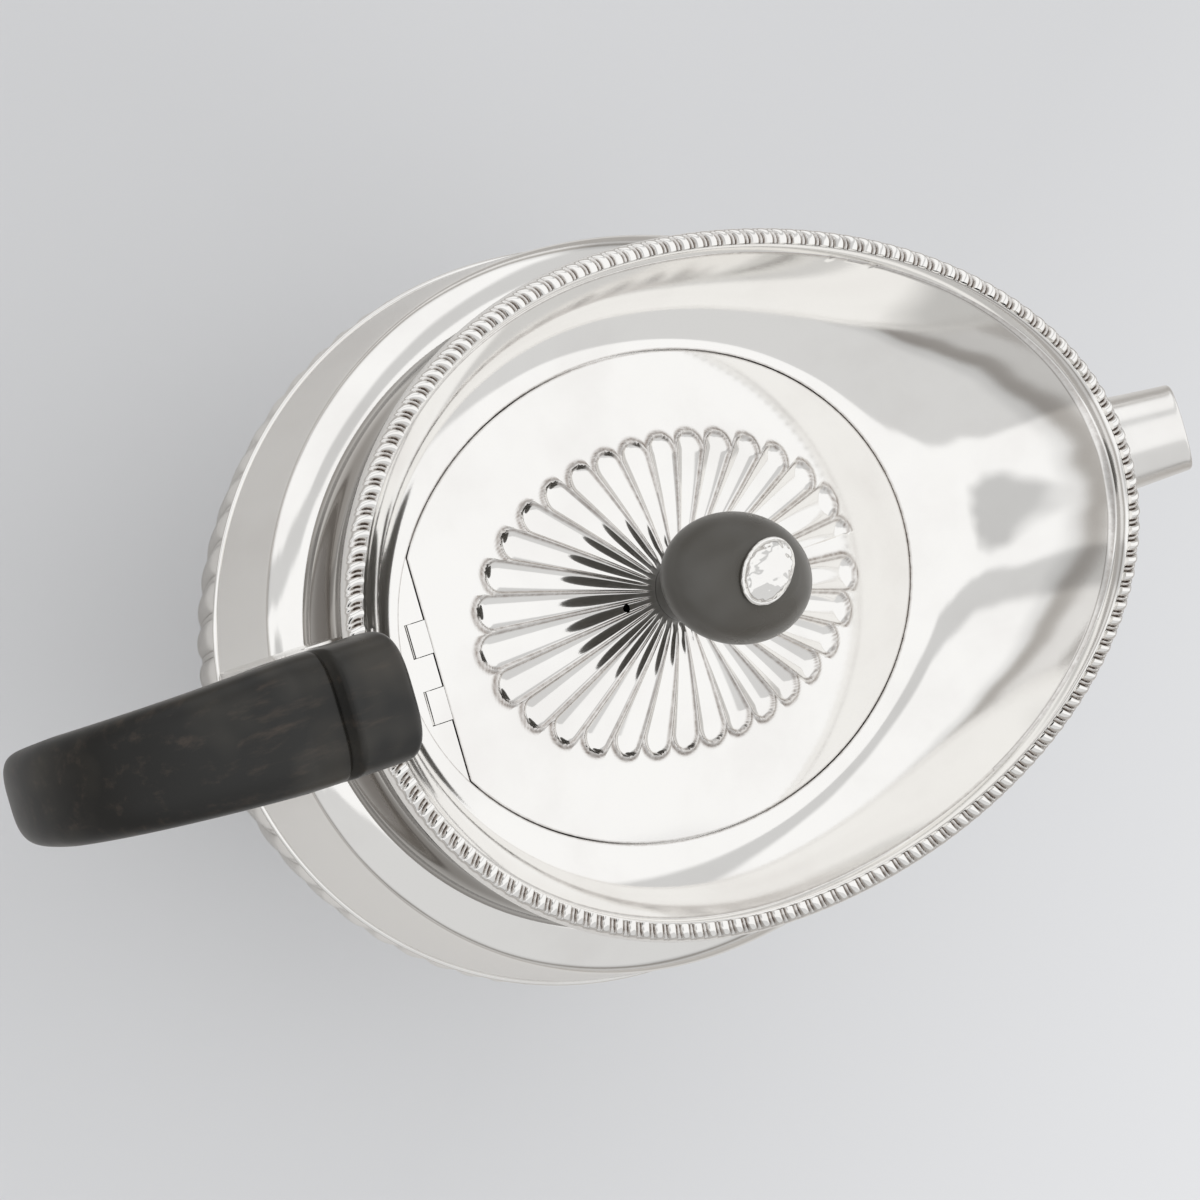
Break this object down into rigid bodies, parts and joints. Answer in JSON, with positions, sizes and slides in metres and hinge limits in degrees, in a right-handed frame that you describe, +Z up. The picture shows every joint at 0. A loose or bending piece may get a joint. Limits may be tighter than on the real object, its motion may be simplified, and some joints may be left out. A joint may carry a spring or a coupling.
{
  "type": "teapot",
  "caption": "Oval half-fluted silver teapot with a raised prow rim, flush hinged lid, short curved spout, and a dark wood handle and knob.",
  "frame": {"origin": "table plane under the knob axis", "axes": "+X towards the spout, +Y to the pot's left, +Z up from the table"},
  "size_m": [0.2239, 0.112, 0.0932],
  "materials": {
    "silver": "polished silver with light wear",
    "ebony": "satin dark wood",
    "steel": "plain turned metal"
  },
  "bodies": {
    "pot": {"body_shell": "silver", "base_plate": "silver", "foot_rim": "silver", "neck_collar": "silver", "gadroon_border": "silver", "top_plate": "silver", "lid_ledge": "silver", "spout": "silver", "upper_handle_socket": "silver", "lower_handle_socket": "silver", "handle": "ebony", "upper_handle_pin": "silver", "lower_handle_pin": "silver", "body_hinge_leaf": "silver", "hinge_pin": "steel"},
    "lid": {"lid_cover": "silver", "lid_bezel": "silver", "lid_hinge_knuckles": "silver", "knob": "ebony", "knob_cap": "silver", "knob_stud": "steel", "knob_washer": "steel", "knob_nut": "steel"}
  },
  "joints": [
    {"name": "lid_hinge", "type": "hinge", "parent": "pot", "child": "lid", "pos_m": [-0.0477, 0, 0.06355], "axis": [0, -1, 0], "range_deg": [0, 85]}
  ]
}
